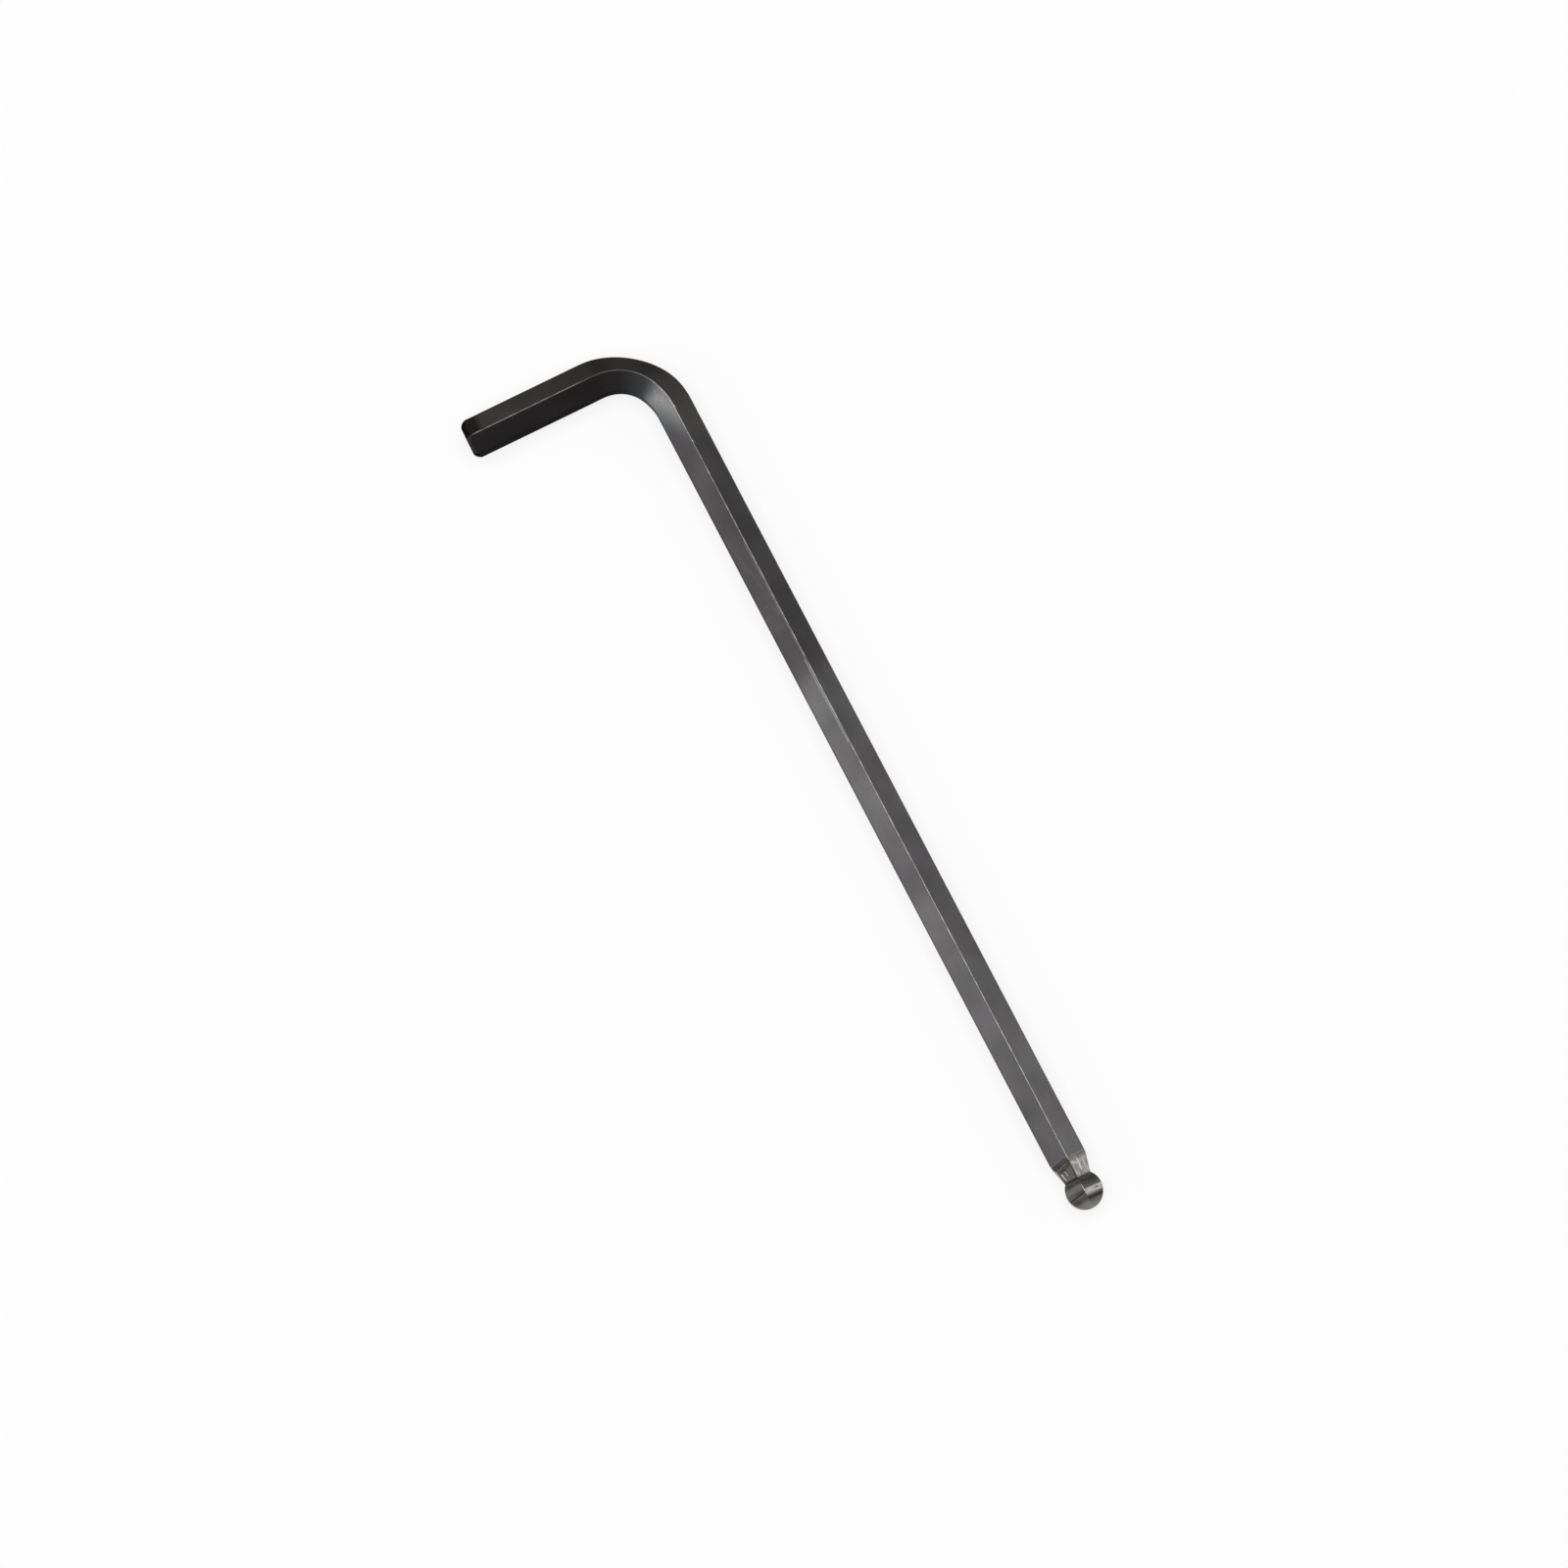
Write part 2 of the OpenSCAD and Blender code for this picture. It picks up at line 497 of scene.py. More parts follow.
@dataclass
class BlackOxide(Finish):
    """Satin black oxide on drawn bar, rubbed bright along the upper ridge, burnished and given a painted
    highlight inside the bend.

    The places are in millimetres along the bar. Each pair says where a change starts and where it
    ends, but wiped, ridge_faint and cool_near give the middle of a band and half its width.
    """

    stretch: tuple[float, float, float] = (3400.0, 90.0, 31.0)
    speck: float = 5200.0
    cloud: float = 95.0
    oxide: float = 0.150
    near_bend: float = 0.60
    # painted shade: the short arm is darker on every flat, standing for the dark surroundings that its
    # flats reflect
    short_arm: float = 0.65
    wiped: tuple[float, float] = (97.5, 10.0)
    pale_from: tuple[float, float] = (109.5, 120.5)
    pale_elsewhere: tuple[float, float] = (85.0, 145.0)
    bend_end: tuple[float, float] = (36.0, 46.0)
    # painted shade: the chamfered end is darkened, so that it shows no pale reflection
    painted_end_shade: tuple[float, float] = (0.8, 1.7)
    dark_tip: tuple[float, float] = (3.0, 4.6)
    # painted shade on the inner flat of the short arm and the bend
    painted_inside_shade: tuple[float, float] = (44.0, 60.0)
    olive_to: tuple[float, float] = (40.0, 70.0)
    # burnished steel and painted highlight: the pale patch inside the bend is shaped like the bend's
    # highlight
    burnish_and_highlight_from: tuple[float, float] = (42.0, 46.5)
    burnish_and_highlight_to: tuple[float, float] = (47.0, 61.0)
    burnish_and_highlight_slant: float = 1.6
    ridge_start: tuple[float, float] = (1.6, 2.2)
    ridge_before_bend: tuple[float, float] = (24.0, 30.0)
    ridge_after_bend: tuple[float, float] = (38.0, 44.0)
    ridge_faint: tuple[float, float] = (54.0, 14.0)
    bare: tuple[float, float, float, float] = (0.495, 0.49, 0.488, 1.0)
    violet: tuple[float, float, float, float] = (1.03, 0.955, 1.01, 1.0)
    green: tuple[float, float, float, float] = (0.99, 0.99, 0.985, 1.0)
    olive: tuple[float, float, float, float] = (1.02, 0.985, 0.93, 1.0)
    # part of the painted highlight: a cool tint where the bend's highlight lies
    cool: tuple[float, float, float, float] = (0.96, 1.0, 1.04, 1.0)
    cool_near: tuple[float, float] = (46.0, 12.5)
    patches: tuple[Patch, ...] = (
        Patch(Side.OUTER_UPPER, 7.5, 8, 0.10),
        Patch(Side.OUTER_UPPER, 35.5, 9, 0.46),
        Patch(Side.OUTER_UPPER, 55, 13, 0.12),
        Patch(Side.OUTER_UPPER, 172, 22, -0.12),
        Patch(Side.OUTER_UPPER, 213, 9, 0.10),
        Patch(Side.INNER_UPPER, 55, 9, 0.10),
        Patch(Side.INNER_UPPER, 121, 7, 0.36),
        Patch(Side.INNER_UPPER, 145, 12, 0.20),
        Patch(Side.INNER_UPPER, 176, 14, 0.16),
        Patch(Side.INNER_UPPER, 200, 14, 0.16),
    )
    scratches: tuple[Mark, ...] = (
        Mark(Side.INNER_UPPER, (1.95, 80.5), (-0.35, 91.5), 0.07, 0.20, 0.5),
        Mark(Side.INNER_UPPER, (1.2, 86.0), (0.3, 90.5), 0.05, 0.10, 0.5),
        Mark(Side.INNER_UPPER, (-0.9, 44.8), (0.6, 46.9), 0.10, 0.60),
        Mark(Side.INNER_UPPER, (-1.4, 46.2), (1.1, 46.8), 0.09, 0.55),
        Mark(Side.INNER_UPPER, (0.9, 45.6), (-0.7, 48.2), 0.09, 0.60),
        Mark(Side.INNER_UPPER, (-1.5, 47.2), (0.2, 49.0), 0.09, 0.55),
        Mark(Side.INNER_UPPER, (0.2, 46.6), (-1.3, 47.6), 0.10, 0.65),
        Mark(Side.INNER_UPPER, (-1.9, 84.0), (-2.0, 112.0), 0.11, 0.30, 0.4, 0.6),
        Mark(Side.INNER_UPPER, (-1.85, 112.0), (-1.95, 132.0), 0.14, 0.62, 0.12, 0.6),
        Mark(Side.OUTER_UPPER, (2.25, 50.4), (1.95, 50.9), 0.16, 0.6, 0.0),
        Mark(Side.OUTER_UPPER, (2.25, 59.0), (1.9, 59.5), 0.16, 0.55, 0.0),
    )

    def tone(self, fibre: Value, speckle: Value, clouds: Value) -> Socket:
        """Works out how pale the oxide is at each place, with painted shade on the short arm, the inner
        flat, the chamfered end and the ridges.

        Args:
            fibre: the grain along the bar.
            speckle: the fine speckle.
            clouds: the broad, cloudy variation.

        Returns:
            The tone, which the oxide's colour is multiplied by.
        """
        w = self.wiring
        upper = w.maths("ADD", self.on_side(Side.OUTER_UPPER), self.on_side(Side.INNER_UPPER))
        pale = self.times(self.step(*self.pale_from), upper)
        pale = w.maths("ADD", pale, self.times(self.step(*self.pale_elsewhere), self.less(upper)))
        pale = w.ease(pale, 0.0, 1.0, self.near_bend, 1.0)
        tone = self.times(pale, w.ease(clouds, 0.25, 0.75, 0.87, 1.13))
        tone = self.times(tone, w.ease(speckle, 0.2, 0.8, 0.93, 1.07), w.ease(fibre, 0.2, 0.8, 0.95, 1.05))
        tip = self.times(self.on_side(Side.OUTER_UPPER), self.step(*self.dark_tip, 0.62, 0.0))
        # Painted shade: the inner flat of the short arm and the bend is darkened, standing for the shaded
        # floor close beside it that it reflects.
        inside = self.times(self.on_side(Side.INNER), self.step(*self.painted_inside_shade, 0.45, 0.0))
        # Painted shade: this line also darkens the chamfered end.
        tone = self.times(tone, self.less(tip), self.less(inside), self.step(*self.painted_end_shade, 0.8, 1.0))
        # Painted shade: close to each ridge the oxide is darker, most on the upper crest, to dim the
        # highlight the rounded ridges catch from the lamp overhead.
        below = w.maths("LESS_THAN", self.times(self.across, w.maths("SUBTRACT", 1.5, self.side)), 0.0)
        crest = self.times(upper, self.less(below))
        shade = w.maths("SUBTRACT", 0.8, self.times(crest, 0.3))
        edge = w.ease(self.gap, 0.06 * MM, 0.16 * MM, shade, 1.0)
        smears = w.noise(w.vector("MULTIPLY", self.place, (260.0, 420.0, 9.0)), 1.0, 2.0)
        smears = w.ease(smears, 0.35, 0.7, -0.05, 0.15)
        wiped = self.times(self.band(*self.wiped, 0.4), self.on_side(Side.INNER_UPPER), smears)
        # Painted shade: the short arm is darkened on every flat, standing for the dark that its flats
        # reflect.
        tone = self.times(tone, self.step(*self.bend_end, self.short_arm, 1.0))
        tone = self.times(tone, edge, w.maths("ADD", 1.0, wiped))
        return self.patched(tone, self.patches)

    def ridge(self) -> Socket:
        """Masks the steel bared along the ridges.

        Returns:
            The mask, least where the bend starts and nothing on the ridges inside the bend.
        """
        w = self.wiring
        inner_edge = self.times(self.on_side(Side.INNER_UPPER), w.maths("GREATER_THAN", self.across, 0.0))
        outside = self.times(self.less(inner_edge), self.less(self.on_side(Side.INNER)))
        before = self.step(*self.ridge_before_bend, 0.17, 0.0)
        share = w.maths("ADD", before, self.step(*self.ridge_after_bend, 0.0, 0.3))
        share = self.times(share, self.less(self.times(self.band(*self.ridge_faint, 0.4), 0.5)))
        return self.times(self.worn_ridge(0.16, 0.3), share, outside, self.step(*self.ridge_start))

    def build(self) -> bpy.types.Material:
        """Builds the material.

        Returns:
            The material.
        """
        w = self.wiring
        fibre, speckle, clouds = self.grain()
        colour = self.shaded(grey(self.oxide), self.tone(fibre, speckle, clouds))
        shift = w.noise(w.vector("ADD", w.scaled(self.place, 60.0), (7.0, 3.0, 0.0)), 1.0, 1.0)
        inner, outer = self.on_side(Side.INNER_UPPER), self.on_side(Side.OUTER_UPPER)
        even = self.times(inner, self.step(*self.pale_from, 1.0, 0.4))
        tint = w.mix(self.times(w.ease(shift, 0.38, 0.62), self.less(even)), self.violet, self.green)
        tint = w.mix(self.times(inner, self.step(*self.pale_from, 0.0, 0.35)), tint, self.green)
        tint = w.mix(self.times(self.step(*self.olive_to, 1.0, 0.0), outer), tint, self.olive)
        # Part of the painted highlight: a cool tint on the inner upper flat where the bend's highlight
        # lies.
        tint = w.mix(self.times(self.band(*self.cool_near, 0.4), inner), tint, self.cool)
        colour = w.mix(1.0, colour, tint, "MULTIPLY")
        # Burnished steel and painted highlight: inside the bend the oxide is paled towards bare steel in
        # the shape of the bend's highlight.
        slant = w.maths("ADD", self.along, self.times(self.across, self.burnish_and_highlight_slant))
        fade = w.ease(slant, self.burnish_and_highlight_to[0] * MM, self.burnish_and_highlight_to[1] * MM, 1.0, 0.0)
        burnish_and_highlight = self.times(self.step(*self.burnish_and_highlight_from), fade, fade, inner)
        colour = w.mix(self.times(burnish_and_highlight, w.ease(speckle, 0.3, 0.7, 0.22, 0.58)), colour, self.bare)
        colour = w.mix(w.maths("MAXIMUM", self.marks(self.scratches), self.ridge()), colour, self.bare)
        rough = w.maths("SUBTRACT", w.ease(speckle, 0.2, 0.8, 0.30, 0.36), self.times(burnish_and_highlight, 0.03))
        height = w.maths("ADD", self.times(fibre, 0.6), self.times(speckle, 0.4))
        return self.shine(colour, rough, height, 0.004)


@dataclass
class MilledNeck(Finish):
    """Neck milled bare after the bar was drawn, with brown stains where the cut starts and painted shade on
    its inner upper flat.
    """

    steel: tuple[float, float, float, float] = (0.40, 0.40, 0.40, 1.0)
    stain: tuple[float, float, float, float] = (0.075, 0.060, 0.052, 1.0)
    bare: tuple[float, float, float, float] = (0.85, 0.83, 0.80, 1.0)
    stains: tuple[Mark, ...] = (
        Mark(Side.INNER_UPPER, (-2.4, 231.2), (2.4, 231.9), 0.65, 0.92, 0.25, 0.3),
        Mark(Side.INNER_UPPER, (-2.2, 232.2), (1.2, 233.0), 0.50, 0.80, 0.3, 0.5),
        Mark(Side.INNER_UPPER, (-2.1, 233.0), (-1.7, 235.0), 0.45, 0.80, 0.2, 0.5),
        Mark(Side.INNER_UPPER, (-1.9, 235.5), (1.9, 235.5), 0.22, 0.80, 0.1, 0.5),
        Mark(Side.OUTER_UPPER, (-2.4, 231.12), (2.4, 231.12), 0.36, 0.75, 0.1, 0.5),
        Mark(Side.OUTER_UPPER, (-2.3, 231.7), (2.2, 231.6), 0.60, 0.50, 0.3),
        Mark(Side.OUTER_UPPER, (-1.9, 235.5), (1.9, 235.5), 0.30, 0.60, 0.2),
    )
    streaks: tuple[Mark, ...] = (
        Mark(Side.OUTER_UPPER, (0.3, 232.1), (0.1, 234.3), 0.25, 0.9, 0.3, 0.85),
        Mark(Side.OUTER_UPPER, (1.7, 232.3), (0.6, 232.8), 0.24, 0.8, 0.3, 0.85),
        Mark(Side.OUTER_UPPER, (-1.0, 232.4), (-1.1, 234.8), 0.20, 0.4, 0.4),
        Mark(Side.OUTER_UPPER, (-2.3, 230.95), (2.3, 230.95), 0.09, 0.15, 0.2, 0.5),
        Mark(Side.INNER_UPPER, (1.1, 233.6), (1.0, 234.9), 0.26, 0.9, 0.1, 0.85),
        Mark(Side.INNER_UPPER, (0.1, 233.4), (0.0, 234.3), 0.26, 0.5, 0.2, 0.85),
        Mark(Side.INNER_UPPER, (2.0, 232.3), (1.8, 235.2), 0.16, 0.7, 0.2, 0.8),
    )

    def build(self) -> bpy.types.Material:
        """Builds the material.

        Returns:
            The material.
        """
        w = self.wiring
        fibre, speckle, clouds = self.grain()
        tone = self.times(w.ease(fibre, 0.3, 0.7, 0.70, 1.25), w.ease(clouds, 0.3, 0.7, 0.75, 1.15))
        # Painted shade: the neck's inner upper flat is darker than its other flats.
        left = self.times(self.on_side(Side.INNER_UPPER), 0.46)
        colour = self.shaded(self.steel, self.times(tone, self.less(left)))
        colour = w.mix(self.marks(self.stains), colour, self.stain)
        colour = w.mix(self.marks(self.streaks), colour, self.bare)
        height = w.maths("ADD", fibre, self.times(speckle, 0.3))
        return self.shine(colour, w.ease(clouds, 0.3, 0.7, 0.26, 0.36), height, 0.008)


@dataclass
class MilledBall(Finish):
    """Ball milled with six rounded faces, with a bare band at its middle and fine tool lines.

    The places are in millimetres along the bar: the middle and half the width of the band, and
    where the wear on the ridges ends.
    """

    stretch: tuple[float, float, float] = (500.0, 3800.0, 31.0)
    cloud: float = 600.0
    bare_band: tuple[float, float] = (239.15, 0.85)
    ridge_to: tuple[float, float] = (239.0, 240.0)
    steel: tuple[float, float, float, float] = (0.157, 0.155, 0.149, 1.0)
    dark: tuple[float, float, float, float] = (0.015, 0.015, 0.013, 1.0)
    bare: tuple[float, float, float, float] = (0.70, 0.695, 0.685, 1.0)
    patches: tuple[Patch, ...] = (
        # painted shade: the outer upper flat is darker by the neck, standing for the dark that the ball
        # reflects there
        Patch(Side.OUTER_UPPER, 236.8, 2.2, -0.32),
        Patch(Side.INNER_UPPER, 240.6, 1.6, 0.7),
    )
    lines: tuple[Mark, ...] = (
        Mark(Side.INNER_UPPER, (-2.35, 238.9), (2.0, 239.5), 0.14, 0.95, 0.1, 0.4),
        Mark(Side.INNER_UPPER, (-2.0, 238.62), (0.1, 238.66), 0.11, 0.85, 0.15, 0.4),
        Mark(Side.INNER_UPPER, (-1.6, 235.7), (1.7, 235.7), 0.20, 0.70, 0.0, 0.5),
        Mark(Side.OUTER_UPPER, (1.75, 236.6), (-0.3, 236.95), 0.16, 0.7, 0.3, 0.5),
        Mark(Side.OUTER_UPPER, (2.2, 240.35), (-2.4, 240.65), 0.36, 0.65, 0.1, 0.8),
        Mark(Side.OUTER_UPPER, (-0.70, 238.98), (-0.85, 239.0), 0.14, 1.0, 0.0, 0.3),
    )

    def build(self) -> bpy.types.Material:
        """Builds the material.

        Returns:
            The material.
        """
        w = self.wiring
        fibre, speckle, clouds = self.grain()
        tone = self.times(w.ease(fibre, 0.25, 0.75, 0.85, 1.15), w.ease(clouds, 0.25, 0.75, 0.9, 1.1))
        colour = self.shaded(self.steel, self.patched(tone, self.patches))
        rub = self.times(self.band(*self.bare_band, 0.4), self.on_side(Side.OUTER_UPPER))
        colour = w.mix(self.times(rub, w.ease(fibre, 0.35, 0.65, 0.38, 0.88)), colour, self.bare)
        worn = self.times(self.worn_ridge(0.14, 0.2), self.step(*self.ridge_to, 0.25, 0.0))
        colour = w.mix(worn, colour, self.bare)
        cut = self.marks(self.lines)
        colour = w.mix(cut, colour, self.dark)
        height = w.maths("SUBTRACT", self.times(fibre, 0.3), self.times(cut, 2.0))
        return self.shine(colour, w.ease(clouds, 0.3, 0.7, 0.30, 0.38), height, 0.01)


@dataclass
class BarPath:
    """The bar's axis, from the short arm's end face round the bend to the tip of the ball.

    Args:
        tip_x: where the ball ends.
        axis_y: the line of the long arm.
        axis_z: the height of the axis.
    """

    tip_x: float
    axis_y: float
    axis_z: float
    long_arm: float = 209.5 * MM
    short_arm: float = 46.5 * MM
    across_flats: float = 8 * MM
    bend_angle: float = 91.5
    bend_radius: float = 13.7 * MM

    def __post_init__(self) -> None:
        """Works out the straight lengths and the bend's centre."""
        self.turn = math.radians(180 - self.bend_angle)
        setback = self.bend_radius * math.tan(self.turn / 2)
        outside = self.across_flats / 2 / math.cos(math.radians(self.bend_angle - 90))
        self.short_straight = self.short_arm - outside - setback
        self.long_straight = self.long_arm - outside - setback
        self.bend_length = self.bend_radius * self.turn
        self.bend_end = self.short_straight + self.bend_length
        self.total = self.bend_end + self.long_straight
        self.centre = Vector((self.tip_x - self.long_straight, self.axis_y - self.bend_radius, self.axis_z))

    def at(self, along: float) -> tuple[Vector, Vector]:
        """Gives a point of the axis.

        Args:
            along: distance from the short arm's end face.

        Returns:
            The point, and the direction from there to the outside of the bend.
        """
        turned = min(max((along - self.short_straight) / self.bend_length, 0.0), 1.0)
        angle = math.pi / 2 + self.turn * (1 - turned)
        outer = Vector((math.cos(angle), math.sin(angle), 0))
        travel = Vector((math.sin(angle), -math.cos(angle), 0))
        straight = min(along - self.short_straight, 0.0) + max(along - self.bend_end, 0.0)
        return self.centre + outer * self.bend_radius + travel * straight, outer


@dataclass
class Section:
    """The rounded hexagon of one cross-section, as points round the axis.

    Args:
        half: half the width across the flats.
        radius: the radius of its rounded corners.
        corner_steps: how many steps each corner is rounded in.
    """

    half: float
    radius: float
    corner_steps: int = 6

    def __post_init__(self) -> None:
        """Works out the points and their places on the flats."""
        third = math.radians(60)
        flat = (self.half - self.radius) * math.tan(third / 2)
        guard = min(0.08 * MM, flat / 4)
        self.edge = flat + self.radius * third / 2
        self.across: list[float] = []
        self.points: list[tuple[float, float]] = []
        for side in Side:
            turn = side.value * third
            for offset in (-flat, guard - flat, -flat / 2, 0.0, flat / 2, flat - guard, flat):
                self.add(self.half, offset, turn, offset)
            corner = (self.half - self.radius) / math.cos(third / 2)
            for step in range(1, self.corner_steps):
                angle = third * step / self.corner_steps
                out = corner * math.cos(third / 2) + self.radius * math.cos(angle)
                up = corner * math.sin(third / 2) + self.radius * math.sin(angle)
                past = step * 2 > self.corner_steps
                after, before = self.radius * angle, self.radius * (third - angle)
                self.add(out, up, turn, -flat - before if past else flat + after)

    def add(self, out: float, up: float, turn: float, across: float) -> None:
        """Adds one point, turned about the axis.

        Args:
            out: its distance out, before the turn.
            up: its distance up, before the turn.
            turn: the turn, in radians.
            across: its place across the flat that it belongs to.
        """
        cosine, sine = math.cos(turn), math.sin(turn)
        self.points.append((out * cosine - up * sine, out * sine + up * cosine))
        self.across.append(across)


@dataclass
class KeyBody:
    """The key's steel: plain end, short arm, bend, long arm, neck and ball, as one closed mesh."""

    path: BarPath
    corner_round: float = 0.07 * MM
    milled_corner: float = 0.14 * MM
    chamfer_length: float = 1.1 * MM
    chamfer_depth: float = 1.5 * MM
    neck_length: float = 4.6 * MM
    neck_depth: float = 1.05 * MM
    shoulder_radius: float = 3 * MM
    ball_relief: float = 0.02 * MM
    ball_offset: float = 0.2 * MM
    tip_facet: float = 1.2 * MM
    shank_step: float = 0.8 * MM
    milled_step: float = 0.09 * MM
    sharp_angle: float = 28.0
    cut_run_out: float = 0.18 * MM
    end_round: float = 0.6
    end_reach: float = 1.3
    end_steps: int = 8
    thin_middle: float = 37.5 * MM
    thin_reach: float = 9.5 * MM
    thin_outside: float = 0.22
    bend_shift: float = 0.38 * MM

    def __post_init__(self) -> None:
        """Works out the bar's reach, the ball's arcs and the neck."""
        self.half = self.path.across_flats / 2
        self.lean = 1 / math.cos(math.radians(30))
        self.reach = self.half * self.lean - self.corner_round
        self.ball_radius = self.half - self.ball_relief + self.ball_offset
        self.neck_half = self.half - self.neck_depth
        tip_drop = self.tip_facet / 2 + self.ball_offset
        neck_drop = self.neck_half + self.ball_offset
        self.ball_centre = self.path.total - math.sqrt(self.ball_radius**2 - tip_drop**2)
        self.neck_end = self.ball_centre - math.sqrt(self.ball_radius**2 - neck_drop**2)
        self.neck_start = self.neck_end - self.neck_length
        run, fall = self.neck_length, self.shoulder_radius - self.neck_depth
        self.shoulder_turn = math.atan2(run, fall) - math.acos(self.shoulder_radius / math.hypot(run, fall))
        self.places: list[Vector] = []
        self.alongs: list[float] = []
        self.across: list[float] = []
        self.gaps: list[float] = []
        self.columns = 0

    def half_width(self, along: float) -> float:
        """Gives half the width across the flats.

        Args:
            along: the place along the bar.

        Returns:
            Half the width there.
        """
        if along <= self.neck_start:
            return self.half
        if along >= self.neck_end:
            run = min(abs(along - self.ball_centre), self.ball_radius)
            return math.sqrt(self.ball_radius**2 - run**2) - self.ball_offset
        eased = self.shoulder_radius * math.sin(self.shoulder_turn)
        run = along - self.neck_start
        if run <= eased:
            return self.half - self.shoulder_radius + math.sqrt(self.shoulder_radius**2 - run**2)
        start = self.half - self.shoulder_radius * (1 - math.cos(self.shoulder_turn))
        return start + (self.neck_half - start) * (run - eased) / (self.neck_length - eased)

    def section(self, half: float) -> Section:
        """Draws a section of this half width, with corners as round as the drawn bar leaves them."""
        drawn = (half * self.lean - self.reach) / (self.lean - 1)
        return Section(half, max(min(self.milled_corner, half / 3), drawn))

    def thinned(self, out: float, along: float) -> float:
        """Gives how far out a point lies where the bend has stretched and thinned the bar.

        Args:
            out: its distance to the outside of the bend, on the bar as drawn.
            along: its distance along the bar.

        Returns:
            Its distance after bending.
        """
        run = abs(along - self.thin_middle) / self.thin_reach
        if run >= 1:
            return out
        amount = (1 - run * run) ** 2
        kept = 1 - self.thin_outside * amount if out > 0 else 1.0
        return out * kept + self.bend_shift * amount

    def add_ring(
        self, section: Section, points: Sequence[tuple[float, float]], alongs: Sequence[float]
    ) -> None:
        """Puts one ring of the skin in place.

        Args:
            section: the section that the ring belongs to.
            points: its points, out from the axis and up.
            alongs: each point's own distance along the bar.
        """
        self.columns = len(points)
        for (out, up), along, across in zip(points, alongs, section.across):
            middle, outer = self.path.at(along)
            self.places.append(middle + outer * self.thinned(out, along) + Vector((0, 0, up)))
            self.alongs.append(along)
            self.across.append(across)
            self.gaps.append(section.edge - abs(across))

    def add_plain_end(self) -> float:
        """Makes the chamfered end of the short arm, with worn, rounded edges that follow its scallops.

        Returns:
            How far along the bar the last ring is.
        """
        section = self.section(self.half)
        slope = self.chamfer_length / self.chamfer_depth
        face = self.reach - self.chamfer_depth
        reaches = [math.hypot(*point) for point in section.points]
        knees = [(reach - face) * slope * self.end_reach for reach in reaches]
        for step in range(self.end_steps + 1):
            share = step / self.end_steps
            turn = share * math.pi / 2
            run = share + (1 - math.cos(turn) - share) * self.end_round
            rise = share + (math.sin(turn) - share) * self.end_round
            sizes = [(face + (reach - face) * rise) / reach for reach in reaches]
            points = [(out * size, up * size) for (out, up), size in zip(section.points, sizes)]
            self.add_ring(section, points, [knee * run for knee in knees])
        end = 2 * self.chamfer_length
        for share in (0.1, 0.4, 0.7, 1.0):
            self.add_ring(section, section.points, [knee + (end - knee) * share for knee in knees])
        return end

    def add_stretch(self, start: float, end: float, step: float) -> None:
        """Carries the skin on in even steps, with the last ring at the end.

        Args:
            start: where along the bar the last ring is.
            end: where the new last ring is.
            step: the longest step.
        """
        steps = math.ceil((end - start) / step)
        for number in range(1, steps + 1):
            along = start + (end - start) * number / steps
            section = self.section(self.half_width(along))
            self.add_ring(section, section.points, [along] * len(section.points))

    def faces(self) -> list[list[int]]:
        """Joins the rings into faces, with a flat cap at each end.

        Returns:
            The points of each face.
        """
        count, rows = self.columns, len(self.places) // self.columns
        faces = [list(range(count))]
        for row in range(rows - 1):
            for column in range(count):
                a, b = row * count + column, row * count + (column + 1) % count
                faces.append([a, a + count, b + count, b])
        last = (rows - 1) * count
        faces.append(list(range(last + count - 1, last - 1, -1)))
        return faces

    def mark_places(self, mesh: bpy.types.Mesh) -> None:
        """Keeps each corner's place on the bar and each point's distance from a ridge.

        Args:
            mesh: the key's mesh.
        """
        count, per_side = self.columns, self.columns // len(Side)
        crest = per_side - 3
        places: list[float] = []
        for face in mesh.polygons:
            columns = sorted({vertex % count for vertex in face.vertices})
            wraps = columns == [0, count - 1]
            column = columns[-1] if wraps else columns[0]
            side = (column // per_side + (column % per_side >= crest)) % len(Side)
            for vertex in face.vertices:
                across = self.across[vertex]
                if vertex % count % per_side == crest and column % per_side == crest:
                    across = -across
                places += [across, self.alongs[vertex], float(side)]
        mesh.attributes.new(PLACE, "FLOAT_VECTOR", "CORNER").data.foreach_set("vector", places)
        mesh.attributes.new(GAP, "FLOAT", "POINT").data.foreach_set("value", self.gaps)

    def build(self) -> bpy.types.Object:
        """Builds the mesh.

        Returns:
            The object.
        """
        start = self.add_plain_end()
        self.add_stretch(start, self.neck_start - self.cut_run_out, self.shank_step)
        self.add_stretch(self.neck_start - self.cut_run_out, self.neck_start, self.milled_step)
        self.add_stretch(self.neck_start, self.neck_end, self.milled_step)
        self.add_stretch(self.neck_end, self.path.total, self.milled_step)
        mesh = bpy.data.meshes.new("key_body")
        mesh.from_pydata(self.places, [], self.faces())
        mesh.validate()
        self.mark_places(mesh)
        mesh.shade_smooth()
        mesh.set_sharp_from_angle(angle=math.radians(self.sharp_angle))
        body = bpy.data.objects.new("key_body", mesh)
        bpy.context.scene.collection.objects.link(body)
        log.info("key_body: %d points, %d faces", len(mesh.vertices), len(mesh.polygons))
        return body

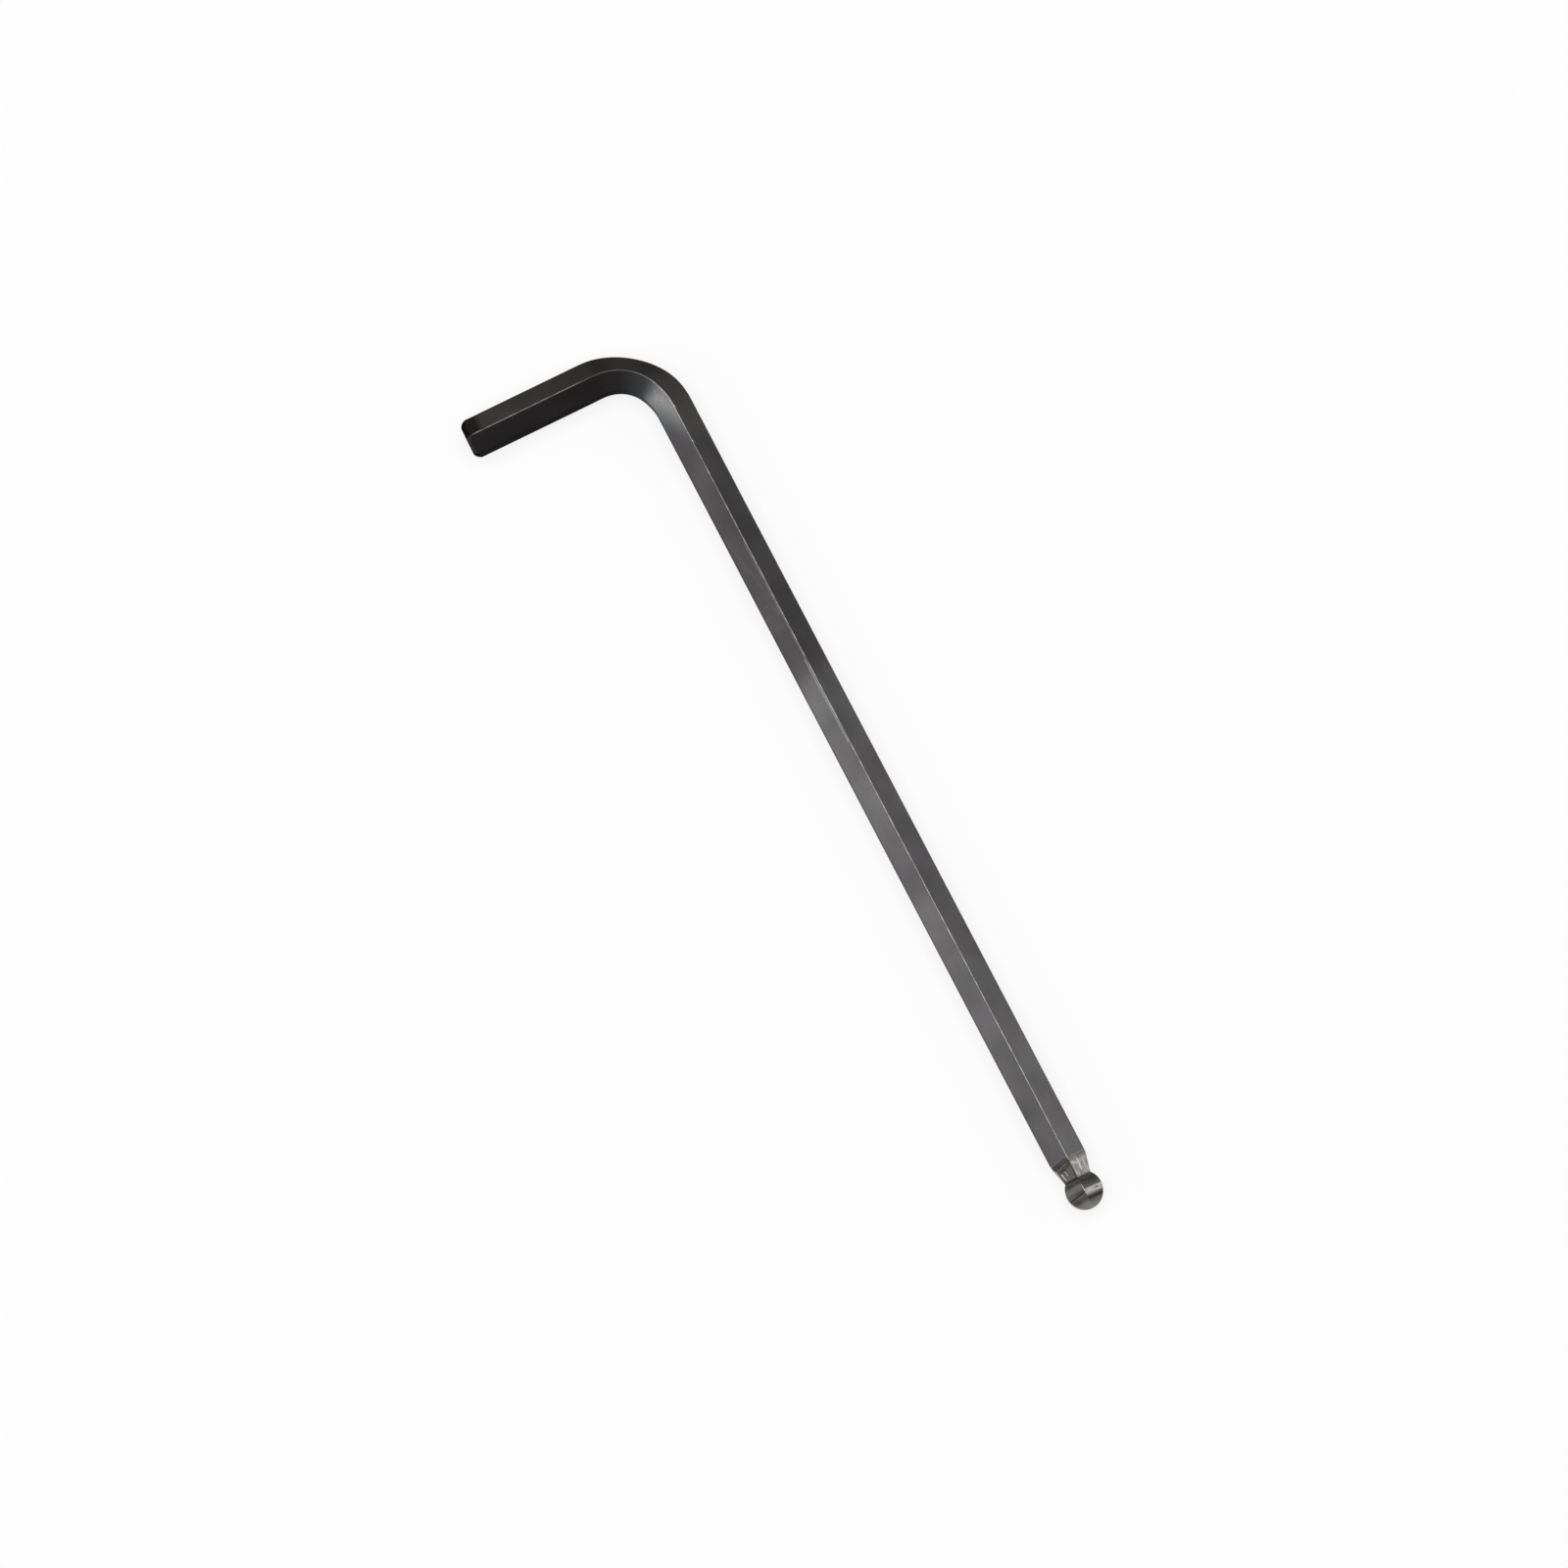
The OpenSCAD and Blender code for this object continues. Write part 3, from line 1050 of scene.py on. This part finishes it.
    def dress(self, body: bpy.types.Object, groups: SurfaceGroups) -> None:
        """Gives the shank, the neck and the ball their finishes.

        Args:
            body: the key's mesh object.
            groups: the node groups that the finishes share.
        """
        mesh = body.data
        mesh.materials.append(BlackOxide("black_oxide", groups, edge_level=0.25).build())
        mesh.materials.append(MilledNeck("milled_neck", groups).build())
        mesh.materials.append(MilledBall("milled_ball", groups).build())
        for face in mesh.polygons:
            along = sum(self.alongs[vertex] for vertex in face.vertices) / len(face.vertices)
            cut = self.neck_start - self.cut_run_out
            zone = Zone.SHANK if along < cut else Zone.NECK if along < self.neck_end else Zone.BALL
            face.material_index = zone.value


@dataclass(frozen=True)
class SoftBox:
    """A soft lamp.

    Args:
        name: its name.
        place: its middle.
        aim: the point it faces.
        size: its width and height.
        level: how bright it looks, where 1 is white.
    """

    name: str
    place: tuple[float, float, float]
    aim: tuple[float, float, float]
    size: tuple[float, float]
    level: float

    def hang(self) -> None:
        """Hangs the lamp."""
        lamp = bpy.data.lights.new(self.name, "AREA")
        lamp.shape = "RECTANGLE"
        lamp.size, lamp.size_y = self.size
        lamp.energy = self.level * math.pi * self.size[0] * self.size[1]
        box = bpy.data.objects.new(self.name, lamp)
        box.location = self.place
        box.rotation_euler = (Vector(self.aim) - Vector(self.place)).to_track_quat("-Z", "Y").to_euler()
        bpy.context.scene.collection.objects.link(box)
        box.visible_camera = False
        log.info("%s hung", self.name)


@dataclass
class Studio:
    """Pale floor, soft lamps and the camera that took the photograph."""

    floor_radius: float = 12.0
    floor_colour: float = 0.95
    room_level: float = 0.10
    whiten: float = 0.80
    lens: float = 150.492
    sensor: float = 36.0
    camera_place: tuple[float, float, float] = (0.199984, -0.016846, 1.374896)
    camera_turn: tuple[float, float, float] = (7.90709, 3.17197, 62.74683)
    boxes: tuple[SoftBox, ...] = (
        SoftBox("overhead_box", (-0.05, 0.0, 1.8), (-0.05, 0.0, 0.0), (1.8, 1.8), 3.0),
        SoftBox("near_box", (-0.20, -0.62, 0.33), (-0.10, 0.0, 0.0), (0.40, 0.36), 1.24),
        SoftBox("near_fill", (0.25, -0.62, 0.33), (0.12, 0.0, 0.0), (0.50, 0.36), 0.60),
        SoftBox("far_box", (0.10, 0.62, 0.33), (0.05, 0.0, 0.0), (0.20, 0.36), 1.10),
        SoftBox("far_fill", (-0.30, 0.62, 0.33), (-0.15, 0.0, 0.0), (0.60, 0.36), 0.45),
        SoftBox("neck_box", (0.43, 0.62, 0.33), (0.22, 0.0, 0.0), (0.32, 0.36), 1.0),
        SoftBox("left_box", (-0.75, -0.10, 0.26), (0.0, 0.0, 0.0), (0.25, 0.30), 1.16),
    )

    def lay_floor(self) -> bpy.types.Object:
        """Lays the floor, white to the camera and in reflections but for the key's soft shadow.

        Returns:
            The floor.
        """
        steps = 48
        turns = [2 * math.pi * step / steps for step in range(steps)]
        rim = [self.floor_radius * Vector((math.cos(turn), math.sin(turn), 0.0)) for turn in turns]
        mesh = bpy.data.meshes.new("floor")
        mesh.from_pydata(rim, [], [list(range(steps))])
        floor = bpy.data.objects.new("floor", mesh)
        bpy.context.scene.collection.objects.link(floor)
        material = bpy.data.materials.new("floor_white")
        material.use_nodes = True
        w = Wiring(material.node_tree)
        shader = material.node_tree.nodes["Principled BSDF"]
        shader.inputs["Base Color"].default_value = grey(self.floor_colour)
        shader.inputs["Roughness"].default_value = 0.9
        shader.inputs["Specular IOR Level"].default_value = 0.0
        rays = w.node("ShaderNodeLightPath").outputs
        mirrored = w.maths("MAXIMUM", rays["Is Glossy Ray"], rays["Is Transmission Ray"])
        seen = w.maths("MAXIMUM", rays["Is Camera Ray"], mirrored)
        white = w.node("ShaderNodeEmission", {"Color": grey(1.0), "Strength": 1.0})
        share = w.maths("MULTIPLY", seen, self.whiten)
        mixed = w.node("ShaderNodeMixShader", {0: share, 1: shader.outputs[0], 2: white.outputs[0]})
        w.put(material.node_tree.nodes["Material Output"].inputs["Surface"], mixed.outputs[0])
        mesh.materials.append(material)
        return floor

    def fill_room(self) -> None:
        """Sets the room's even light."""
        world = bpy.data.worlds.new("room")
        bpy.context.scene.world = world
        world.use_nodes = True
        sky = world.node_tree.nodes["Background"]
        sky.inputs["Color"].default_value = grey(1.0)
        sky.inputs["Strength"].default_value = self.room_level

    def place_camera(self) -> None:
        """Places the camera."""
        data = bpy.data.cameras.new("camera")
        data.lens = self.lens
        data.sensor_width = self.sensor
        camera = bpy.data.objects.new("camera", data)
        camera.location = self.camera_place
        camera.rotation_euler = Euler([math.radians(turn) for turn in self.camera_turn])
        bpy.context.scene.collection.objects.link(camera)
        bpy.context.scene.camera = camera

    def build(self) -> None:
        """Builds the studio."""
        self.place_camera()
        self.lay_floor()
        self.fill_room()
        for box in self.boxes:
            box.hang()
        bpy.context.scene.view_settings.view_transform = "Standard"


def main() -> None:
    """Builds the key and the studio in order, and reports each piece."""
    logging.basicConfig(level=logging.INFO, format="%(name)s: %(message)s")
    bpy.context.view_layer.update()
    low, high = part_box(NODE)
    Studio().build()
    path = BarPath(tip_x=high[0], axis_y=high[1] - BarPath.across_flats / 2, axis_z=(low[2] + high[2]) / 2)
    groups = SurfaceGroups()
    groups.build()
    key = KeyBody(path)
    body = key.build()
    key.dress(body, groups)
    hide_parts(NODE)
    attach(body, BODY)
    log.info("key_body: dressed, rides on %s", BODY)


if __name__ == "__main__":
    main()
